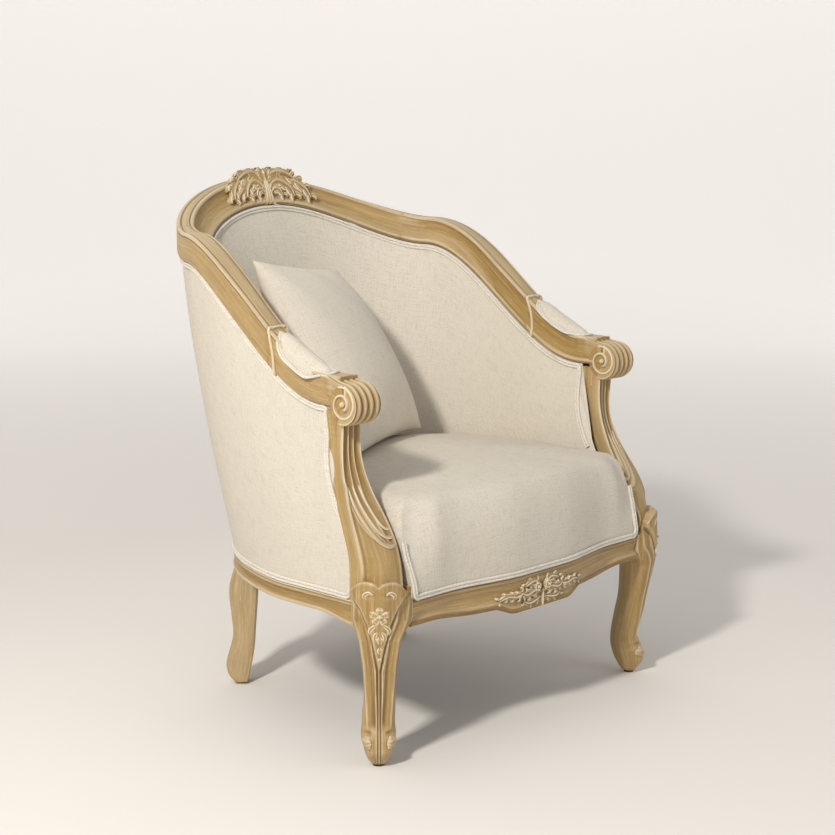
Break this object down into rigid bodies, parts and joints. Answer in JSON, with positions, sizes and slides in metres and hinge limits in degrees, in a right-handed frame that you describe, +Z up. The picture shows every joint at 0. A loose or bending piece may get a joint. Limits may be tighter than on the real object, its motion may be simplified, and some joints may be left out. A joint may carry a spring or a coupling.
{
  "type": "bergere chair",
  "caption": "Bergere tub chair with a carved limed-oak frame on cabriole legs, curved upholstered back and arms, tight domed seat, double welts and a loose throw pillow.",
  "frame": {"origin": "on the floor, at the middle of the chair's width and length", "axes": "+Z up, -Y the way the sitter faces, +X to the viewer's right when the chair is seen from the front"},
  "size_m": [0.7262, 0.7079, 0.9],
  "materials": {
    "limed_oak": "limed oak, pale wax in the grain and carving, satin",
    "frame_beech": "plain sawn beech",
    "linen": "natural heathered linen, plain weave",
    "linen_welt": "natural linen cord, double welt",
    "pillow_linen": "natural heathered linen, knife edge",
    "foam": "polyurethane foam",
    "jute_webbing": "woven jute",
    "deck_cotton": "plain cotton cloth",
    "dust_cambric": "black non-woven cloth",
    "zinc_steel": "zinc plated",
    "glide_nylon": "dark nylon"
  },
  "bodies": {
    "chair": {"crest_rail": "limed_oak", "right_shoulder_rail": "limed_oak", "left_shoulder_rail": "limed_oak", "right_arm": "limed_oak", "left_arm": "limed_oak", "right_arm_post": "limed_oak", "left_arm_post": "limed_oak", "right_front_leg": "limed_oak", "left_front_leg": "limed_oak", "right_rear_leg": "limed_oak", "left_rear_leg": "limed_oak", "right_side_rail": "limed_oak", "left_side_rail": "limed_oak", "back_rail": "limed_oak", "front_rail": "limed_oak", "right_back_stile": "frame_beech", "left_back_stile": "frame_beech", "foot_glides": "glide_nylon", "corner_blocks": "frame_beech", "corner_screws": "zinc_steel", "frame_dowels": "frame_beech", "seat_webbing": "jute_webbing", "deck_cloth": "deck_cotton", "seat_foam": "foam", "seat_cover": "linen", "seat_welt": "linen_welt", "inside_padding": "foam", "inside_cover": "linen", "inside_welt": "linen_welt", "outside_cover": "linen", "outside_welt": "linen_welt", "right_arm_pad": "linen", "left_arm_pad": "linen", "right_pad_welt": "linen_welt", "left_pad_welt": "linen_welt", "dust_cover": "dust_cambric"},
    "pillow": {"throw_pillow": "pillow_linen"}
  },
  "joints": [
    {"name": "pillow_lift", "type": "slide", "parent": "chair", "child": "pillow", "axis": [0.2493, -0.4986, 0.8302], "range_m": [0, 0.35]}
  ]
}
